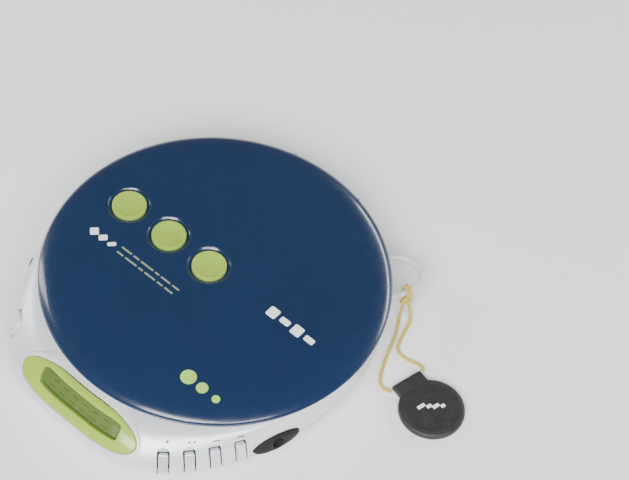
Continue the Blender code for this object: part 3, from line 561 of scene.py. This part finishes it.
TAG_FACE = 3.05
places = []
for k in range(62):
    a = 2 * math.pi * (k + 0.5) / 62
    if math.cos(a) > 0.80:
        continue
    places.append((centre + (tab_dir * math.cos(a) + tab_side * math.sin(a)) * (TAG_R - 1.75) + Vector((0, 0, TAG_FACE - 0.1)), -tab_dir * math.sin(a) + tab_side * math.cos(a)))
for k in range(9):
    places.append((centre + tab_dir * 11.4 + tab_side * (-5.4 + 1.35 * k) + Vector((0, 0, TAG_FACE)), tab_side))
tag_seam = stitches("tag_stitching", places, THREAD)
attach(tag_seam, "case")
mark_verts, mark_faces = [], []
for u0, v0, w, h in ((2.6, 3.2, 1.5, 3.4), (1.0, 0.6, 1.5, 2.2), (-0.4, -1.6, 1.5, 3.0), (-1.8, -4.0, 1.5, 1.8)):
    base = len(mark_verts)
    rim_pts = []
    for cx, cy, a0 in ((1, 1, 0), (-1, 1, 90), (-1, -1, 180), (1, -1, 270)):
        for k in range(4):
            a = math.radians(a0 + 30 * k)
            rim_pts.append((cx * (w / 2 - 0.35) + 0.35 * math.cos(a), cy * (h / 2 - 0.35) + 0.35 * math.sin(a)))
    for z in (TAG_FACE + 0.13, TAG_FACE):
        mark_verts += [centre + tab_dir * (u0 + p) + tab_side * (v0 + q) + Vector((0, 0, z)) for p, q in rim_pts]
    n = len(rim_pts)
    mark_faces += [tuple(base + k for k in range(n)), tuple(base + n + k for k in range(n))[::-1]] + [(base + k, base + n + k, base + n + (k + 1) % n, base + (k + 1) % n) for k in range(n)]
tag_mark = build("tag_mark", mark_verts, mark_faces, WHITE_PRINT, 0)
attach(tag_mark, "case")

# ------------------------------------------------------------------ case
N = 200
BEARINGS = [360.0 * k / N for k in range(N)]


def case_ring(z, inset=0.0):
    return [plan_point(b, case_radius(b, z) - inset, z) for b in BEARINGS]


def round_ring(r, z):
    return [plan_point(b, r, z) for b in BEARINGS]


outer = [12.2 + 11.7 * (k / 24) for k in range(25)][::-1]
rings = [round_ring(WELL_R, DECK_Z + 0.5), round_ring(WELL_R, 23.6), round_ring(WELL_R + 0.3, CASE_TOP_Z)]
rings += [[plan_point(b, case_radius(b, 23.9) - 0.35, 23.9) for b in BEARINGS]] + [case_ring(z) for z in outer]
rings += [case_ring(12.05, 0.08), case_ring(11.92, 0.28), case_ring(11.8, 0.6), case_ring(11.8, SKIN)] + [case_ring(z, SKIN) for z in (12.5, 14.5, 17.5, 20.0)]
rings += [[plan_point(b, case_radius(b, 22.0) - SKIN - 0.2, 22.0) for b in BEARINGS],
          round_ring(WELL_R + WELL_WALL, 22.0), round_ring(WELL_R + WELL_WALL, DECK_Z - DECK_T)]
rings = [round_ring(WELL_R - 3.0, DECK_Z), round_ring(WELL_R - 0.5, DECK_Z)] + rings
upper = loft("case_upper", rings, SILVER)


def placed_drum(r, z0, z1, at=(0, 0), place=None, steps=48, r_top=None):
    t = (place or Matrix()) @ Matrix.Translation((at[0], at[1], 0))
    return lathe("tool", [(0, z1), (r_top or r, z1), (r, z0), (0, z0)], None, steps, place=t, smooth=0)


def tool_block(lo, hi, place=None, bevel=0.0):
    return block("tool", lo, hi, None, place, bevel, 3)


JACK_R0 = case_radius(JACK_BEARING, JACK_Z)


def eye(half, rise):
    def at(turn):
        c, s = math.cos(turn), math.sin(turn)
        return half * c, JACK_Z + rise * math.copysign(abs(s) ** 1.15, s)
    return at


def jack_pocket():
    return case_slab("tool", JACK_BEARING, JACK_R0, [(eye(10.0, 3.9), -3.5), (eye(10.0, 3.9), 2.0)], None, n=60, smooth=0)


def key_slot(b):
    return tool_block((-KEY_W / 2 - 0.5, -KEY_L / 2 - 0.5, -3.6), (KEY_W / 2 + 0.5, KEY_L / 2 + 0.4, 4.0), case_frame(b, KEY_Z))


def open_pocket():
    return lathe("tool", [(0, 4.0), (7.4, 4.0), (7.0, 0.25), (6.75, -0.3), (6.3, -0.62), (5.5, -0.72), (5.5, -4.0), (0, -4.0)], None, 64, place=case_frame(OPEN_BEARING, OPEN_Z), smooth=0)


tools = [case_slab("tool", 0, 83.0, [(lens_outline(LCD_HALF, LCD_RISE, LCD_Z, 0.32), -4.4), (lens_outline(LCD_HALF, LCD_RISE, LCD_Z, 0.32), 2.0)], None, smooth=0),
         jack_pocket(), open_pocket()]
for b in KEY_BEARINGS:
    tools.append(key_slot(b))
    f = case_frame(b, KEY_Z) @ Matrix.Translation((0, KEY_L / 2 - 0.3, 0))
    tools.append(lathe("tool", [(0, 4.0), (2.62, 4.0), (2.52, 0.1), (2.38, -0.12), (2.35, -1.35), (0, -1.35)], None, 40, place=f, smooth=0))
tools.append(tool_block((-4.0, -1.5, -3.5), (4.0, 1.5, 3.0), case_frame(HOLD_BEARING, HOLD_Z)))
tools += [placed_drum(7.0, 16.5, 20.5), tool_block((-6.5, -61.0, 16.8), (6.5, -6.0, 20.4)), tool_block((-17.7, 62.45, 18.85), (17.7, 75, 26)), tool_block((-3.6, -66.3, 20.5), (3.6, -63.5, 26))]
cut(upper, tools)
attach(upper, "case")
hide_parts("upper_case")

under = [[plan_point(b, case_radius(b, 9.3) - hermite([(9 - z, i) for z, i in UNDER], 9.0 - z), z) for b in BEARINGS] for z in [1.5 + 7.5 * k / 22 for k in range(23)]]
under += [case_ring(9.6, 0.2), case_ring(10.2, 0.08), case_ring(10.8, 0.0), case_ring(11.1, 0.0), case_ring(11.3, 0.12), case_ring(11.42, 0.35), case_ring(11.5, 0.8)]
inner = [case_ring(11.5, 2.1)] + [[plan_point(b, case_radius(b, 9.3) - inset, z) for b in BEARINGS] for z, inset in ((9.0, 2.1), (7.0, 2.9), (5.0, 4.3), (3.1, 6.6))]
lower = loft("case_lower", under + inner, SILVER_LOW)
tools = [tool_block((-27.0, 18.6, 0.5), (27.0, 49.4, 4.0)), jack_pocket(), open_pocket()] + [key_slot(b) for b in KEY_BEARINGS]
for at in ((43.0, 33.0), (-43.0, 33.0), (30.5, -50.0), (-30.5, -50.0)):
    tools.append(lathe("tool", [(0, 4.5), (1.4, 4.5), (1.4, 2.3), (2.7, 2.3), (2.9, 2.1), (2.95, 1.7), (3.4, 1.2), (3.4, 0.5), (0, 0.5)], None, 40,
                       place=Matrix.Translation((at[0], at[1], 0)), smooth=0))
cut(lower, tools)
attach(lower, "case")
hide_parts("bottom_shell")

# ------------------------------------------------------------------ display


def window_pill(g=0.0, half=21.1, rise=2.0):
    """The display window: a bar with soft corners whose left end leans."""
    def at(turn):
        c, s = math.cos(turn), math.sin(turn)
        u, v = math.copysign(abs(c) ** 0.28, c), math.copysign(abs(s) ** 0.28, s)
        return 0.65 + (half + g) * u - 0.85 * v * (1 - u), 20.1 + (rise + g) * v
    return at



L = lambda g: lens_outline(LCD_HALF, LCD_RISE, LCD_Z, g)
bezel = case_slab("lcd_bezel_ring", 0, 83.0, [(L(0.2), -1.7), (L(0.26), -0.5), (L(0.24), 0.0), (L(0.1), 0.25), (L(-0.15), 0.38), (L(-0.45), 0.44),
                                              (window_pill(0.22), 0.40), (window_pill(0.10), 0.30), (window_pill(0.02), 0.08), (window_pill(), -1.7)], LIME, caps=False)
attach(bezel, "case"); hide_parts("lcd_bezel")
rim = case_slab("lcd_rim", 0, 83.0, [(L(0.34), -0.6), (L(0.34), 0.2), (L(0.5), 0.42), (L(0.85), 0.5), (L(1.25), 0.4), (L(1.6), 0.16), (L(1.9), -0.15), (L(1.9), -0.6)], SILVER, caps=False)
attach(rim, "case")
window = case_slab("lcd_window_pane", 0, 83.0, [(window_pill(-0.3), -0.95), (window_pill(-0.3), -0.32), (window_pill(-0.42), -0.25)], WINDOW)
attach(window, "case"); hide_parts("lcd_window")
panel = case_slab("lcd_panel_glass", 0, 83.0, [(pill_outline(22.6, 2.4, 0.2, 19.85, 0.0), -3.4), (pill_outline(22.6, 2.4, 0.2, 19.85, 0.0), -2.1)], PANEL)
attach(panel, "case"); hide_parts("lcd_panel")

def on_panel(s_a, s_b, z_a, z_b, name, mat, h=-2.06, thick=0.05, lean=0.0):
    """A thin dark bar on the display panel; it draws the faint segments and the painted shade strips along the lower
    and left edges.
    """
    cols = max(2, int(abs(s_b - s_a) / 1.0) + 1)
    verts = []
    for lift in (h, h - thick):
        for z in (z_a, z_b):
            for k in range(cols + 1):
                verts.append(on_case(0, 83.0, s_a + (s_b - s_a) * k / cols + lean * (z - z_a), z, lift))
    n = cols + 1
    faces = []
    for k in range(cols):
        faces += [(k, k + 1, n + k + 1, n + k), (2 * n + k, 3 * n + k, 3 * n + k + 1, 2 * n + k + 1), (k, 2 * n + k, 2 * n + k + 1, k + 1), (n + k, n + k + 1, 3 * n + k + 1, 3 * n + k)]
    faces += [(0, n, 3 * n, 2 * n), (cols, 2 * n + cols, 3 * n + cols, n + cols)]
    obj = build(name, verts, faces, mat, 0)
    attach(obj, "case")
    return obj


# painted shade: these two dark strips on the lower and left edges of the display panel stand in for the shadow cast by
# the bezel's inner walls
on_panel(-20.4, 21.6, 17.75, 18.55, "lcd_painted_shade_low", SEGMENT_AND_SHADE)
on_panel(-22.2, -20.4, 17.75, 21.95, "lcd_painted_shade_left", SEGMENT_AND_SHADE)
for k in range(6):
    on_panel(-15.5 + 5.6 * k, -12.4 + 5.6 * k, 19.3, 19.55, f"lcd_segment_low_{k}", SEGMENT_AND_SHADE)
    on_panel(-15.5 + 5.6 * k, -12.4 + 5.6 * k, 20.9, 21.15, f"lcd_segment_top_{k}", SEGMENT_AND_SHADE)

# ------------------------------------------------------------------ jack
hole = lambda r: (lambda turn: (r * math.cos(turn), JACK_Z + r * math.sin(turn)))
grommet = case_slab("jack_surround", JACK_BEARING, JACK_R0, [(eye(9.6, 3.6), -1.6), (eye(9.6, 3.6), 0.35), (eye(9.4, 3.45), 0.72), (eye(8.7, 3.1), 1.0), (hole(2.95), 1.17), (hole(2.5), 1.1), (hole(2.2), 0.8), (hole(2.15), -1.6)],
                    RUBBER, n=96, caps=False)
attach(grommet, "case"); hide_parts("jack_grommet")

# ------------------------------------------------------------------ side keys, lid release, hold
for i, b in enumerate(KEY_BEARINGS):
    key = block(f"side_key_cap_{i + 1}", (-KEY_W / 2, -KEY_L / 2, KEY_PROUD - KEY_T), (KEY_W / 2, KEY_L / 2, KEY_PROUD), KEY_SILVER, case_frame(b, KEY_Z), bevel=0.85, segments=5)
    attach(key, f"key_{i + 1}"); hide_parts(f"side_key_{i + 1}")
def legend(name, bearing, w, h, dx=0.0):
    place = case_frame(bearing, 21.35) @ Matrix.Translation((dx, 0, 0))
    obj = block(name, (-w / 2, -h / 2, -0.25), (w / 2, h / 2, 0.05), DARK_PRINT, place, bevel=0.04, segments=2)
    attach(obj, "case")


legend("key_legend_1", KEY_BEARINGS[0], 0.9, 1.0)
legend("key_legend_2a", KEY_BEARINGS[1], 1.0, 0.6, -1.0)
legend("key_legend_2b", KEY_BEARINGS[1], 1.0, 0.6, 1.0)
legend("key_legend_3", KEY_BEARINGS[2], 2.8, 0.5)
legend("key_legend_4", KEY_BEARINGS[3], 2.6, 0.5)

f = case_frame(OPEN_BEARING, OPEN_Z)
button = lathe("release_cap", [(0, 0.0), (1.6, 0.03), (3.0, 0.12), (4.0, 0.28), (4.6, 0.4), (4.9, 0.4), (5.08, 0.28), (5.15, 0.05), (5.15, -2.6), (0, -2.6)], SILVER, 96, place=f)
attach(button, "release"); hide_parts("open_button")
f = case_frame(HOLD_BEARING, HOLD_Z)
knob = block("hold_knob_cap", (-3.6, -1.15, -2.3), (-0.2, 1.15, 0.35), GREY, f, bevel=0.25)
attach(knob, "hold"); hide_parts("hold_knob")
for k in range(4):
    rib = block(f"hold_rib_{k}", (-3.1 + 0.62 * k, -0.95, 0.25), (-2.82 + 0.62 * k, 0.95, 0.58), GREY, f, bevel=0.08, segments=2)
    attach(rib, "hold")

# ------------------------------------------------------------------ lid
fine = [(68.0 * math.sin(math.pi / 2 * k / 70), 0) for k in range(71)]
profile = [(r, hermite([(a, b) for a, b in LID_PROFILE], r)) for r, _ in fine[:-1]] + [(68.0, 24.75), (68.0, 24.4), (67.85, 24.25), (67.6, 24.2)]
profile += [(66.4, 24.2)] + list(LID_INNER)[1:]
lid = lathe("lid_top", profile, NAVY, 220)
tools = []
for x in LID_BUTTON_X:
    tools.append(lathe("tool", [(0, 31.0), (9.7, 31.0), (8.95, 29.05), (8.72, 28.75), (8.45, 28.5), (8.2, 28.25), (7.9, 28.08), (7.55, 28.0), (7.2, 28.0), (7.15, 27.9), (7.15, 25.0), (0, 25.0)], None, 72,
                       place=Matrix.Translation((x, LID_BUTTON_Y, 0)), smooth=0))
cut(lid, tools)
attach(lid, "lid"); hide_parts("lid_shell")
tongue = block("lid_tongue", (-17.0, 63.6, 20.0), (17.0, 66.1, 25.4), NAVY, bevel=0.5)
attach(tongue, "lid")
hook = block("lid_hook", (-3.0, -65.6, 19.4), (3.0, -64.1, 25.6), NAVY, bevel=0.25)
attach(hook, "lid")
toe = block("lid_hook_toe", (-3.0, -64.9, 19.4), (3.0, -63.8, 20.6), NAVY, bevel=0.25)
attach(toe, "lid")
for i, x in enumerate(LID_BUTTON_X):
    cap = lathe(f"lid_button_cap_{i + 1}", [(0, 28.72), (1.5, 28.73), (3.0, 28.78), (4.2, 28.88), (5.0, 29.02), (5.6, 29.17), (6.05, 29.27), (6.35, 29.29), (6.6, 29.2), (6.75, 29.0),
                                            (LID_BUTTON_R, 28.75), (LID_BUTTON_R, LID_BUTTON_FOOT), (0, LID_BUTTON_FOOT)], LIME_KEY, 110, place=Matrix.Translation((x, LID_BUTTON_Y, 0)))
    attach(cap, f"button_{i + 1}"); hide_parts(f"lid_button_{i + 1}")


def lid_z(x, y):
    return hermite([(a, b) for a, b in LID_PROFILE], math.hypot(x, y))


def print_on_lid(name, outline, mat, lift=0.035, body="lid"):
    """A thin printed patch that follows the lid: outline is a list of (x, y)."""
    n = len(outline)
    cx, cy = sum(p[0] for p in outline) / n, sum(p[1] for p in outline) / n
    verts = [(x, y, lid_z(x, y) + lift) for x, y in outline] + [(x, y, lid_z(x, y) - 0.05) for x, y in outline]
    verts += [(cx, cy, lid_z(cx, cy) + lift), (cx, cy, lid_z(cx, cy) - 0.05)]
    faces = [(k, (k + 1) % n, 2 * n) for k in range(n)] + [((k + 1) % n + n, k + n, 2 * n + 1) for k in range(n)]
    faces += [(k, k + n, (k + 1) % n + n, (k + 1) % n) for k in range(n)]
    obj = build(name, verts, faces, mat, 0)
    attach(obj, body)
    return obj


def bar(x, y, w, h, lean=0.0, r=0.35, turn=0.0):
    pts = []
    for cx, cy, a0 in ((w / 2 - r, h / 2 - r, 0), (-w / 2 + r, h / 2 - r, 90), (-w / 2 + r, -h / 2 + r, 180), (w / 2 - r, -h / 2 + r, 270)):
        for k in range(5):
            a = math.radians(a0 + 22.5 * k)
            px, py = cx + r * math.cos(a), cy + r * math.sin(a)
            px += lean * py
            pts.append((x + px * math.cos(turn) - py * math.sin(turn), y + px * math.sin(turn) + py * math.cos(turn)))
    return pts


def disc(x, y, r, n=28):
    return [(x + r * math.cos(2 * math.pi * k / n), y + r * math.sin(2 * math.pi * k / n)) for k in range(n)]


# plain marks where the printed names were
for k, (dx, w) in enumerate(((-9.0, 4.4), (-3.0, 4.4), (3.0, 4.4), (9.0, 4.4))):
    print_on_lid(f"mark_white_{k}", bar(38.3 + dx, -0.6, w, 4.6 if k % 2 == 0 else 2.6, 0.0, 0.7), WHITE_PRINT)
for k, r in enumerate((3.1, 2.3, 1.6)):
    print_on_lid(f"mark_lime_{k}", disc(25.5 + 6.2 * k + (0.6 * k), -43.5, r), LIME_PRINT)
for k in range(3):
    print_on_lid(f"mark_small_{k}", bar(-46.0 + 4.6 * k, -19.3, 3.4, 3.4 - 0.8 * k, 0.0, 0.5, math.radians(45)), WHITE_PRINT)
for row, y in enumerate((-17.6, -20.4)):
    x = -33.0
    for k, w in enumerate((5.2, 3.0, 6.4, 2.2, 4.8, 3.6) if row == 0 else (3.4, 6.0, 2.4, 5.4, 3.0, 4.2)):
        print_on_lid(f"mark_line_{row}_{k}", bar(x + w / 2, y, w, 0.75, 0.0, 0.25), DULL_PRINT)
        x += w + 0.9

# ------------------------------------------------------------------ strap lug
lug_stops = [plan_point(147.0, 66.75, LUG_Z), plan_point(147.0, 72.0, LUG_Z), plan_point(145.6, 77.2, LUG_Z), plan_point(142.6, 81.0, LUG_Z), plan_point(139.0, 81.8, LUG_Z),
             plan_point(135.8, 79.4, LUG_Z), plan_point(133.6, 75.0, LUG_Z), plan_point(132.0, 70.5, LUG_Z), plan_point(131.6, 66.75, LUG_Z)]


def lug_section(turn, run):
    c, s = math.cos(turn), math.sin(turn)
    return 1.2 * math.copysign(abs(c) ** 0.7, c), 1.2 * math.copysign(abs(s) ** 0.7, s)


lug = sweep("strap_lug_arch", tube_path(lug_stops, 0.7), lug_section, MILKY)
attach(lug, "case"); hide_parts("strap_lug")

# ------------------------------------------------------------------ CAD nodes that stay as they are
finish_of = {"foot": RUBBER, "case_screw": STEEL, "battery_tray": GREY, "bay_": STEEL, "main_board": PCB, "key_switch_board": PCB, "headphone_jack": STEEL, "mech_chassis": STEEL,
             "mech_damper": RUBBER, "chassis_screw": STEEL, "spindle_motor": STEEL, "guide_rod": STEEL, "sled_motor": STEEL, "hinge_pin": STEEL, "lid_liner": GREY, "lid_board": PCB,
             "turntable": DARK, "spindle_shaft": STEEL, "chuck_ball": STEEL, "pickup_sled": DARK, "pickup_lens": LENS, "lead_screw": STEEL, "battery_door": SILVER_LOW}
for name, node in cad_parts.items():
    for start, mat in finish_of.items():
        if name.startswith(start):
            node.data.materials.clear()
            node.data.materials.append(mat)

# ------------------------------------------------------------------ floor and light
floor_mat = material("floor", (0.90, 0.90, 0.905), rough=0.85, tone=0.01, tone_scale=3.0, rough_var=0.02, specular=0.2)
bpy.ops.mesh.primitive_plane_add(size=6.0, location=(0, 0, -0.0001))
floor = bpy.context.object
floor.name = "floor"
floor.data.materials.append(floor_mat)

world = bpy.data.worlds.new("studio")
scene.world = world
world.use_nodes = True
sky = world.node_tree.nodes["Background"]
sky.inputs["Color"].default_value = (0.95, 0.97, 1.0, 1)
sky.inputs["Strength"].default_value = 0.22


def area(name, at, target, size, power, size_y=None, colour=(1, 1, 1)):
    light = bpy.data.lights.new(name, "AREA")
    light.shape = "RECTANGLE"
    light.size = size
    light.size_y = size_y or size
    light.energy = power
    light.color = colour
    obj = bpy.data.objects.new(name, light)
    scene.collection.objects.link(obj)
    obj.location = at
    obj.rotation_euler = (Vector(target) - Vector(at)).to_track_quat("-Z", "Y").to_euler()
    return obj


# the mirror of the view in the lid, up and to the back left, is kept dark, so that the lid stays deep blue
area("key_light", (0.42, -1.05, 1.15), (0, 0, 0), 0.8, 38.0)
area("top_light", (0.95, -0.55, 0.95), (0, 0, 0), 0.6, 14.0)
area("back_light", (0.30, 1.35, 0.62), (0, 0, 0.02), 1.3, 12.0, 0.16, (0.93, 0.96, 1.0))
area("left_light", (-1.35, -0.20, 0.50), (0, 0, 0.02), 0.25, 9.0, 1.1)
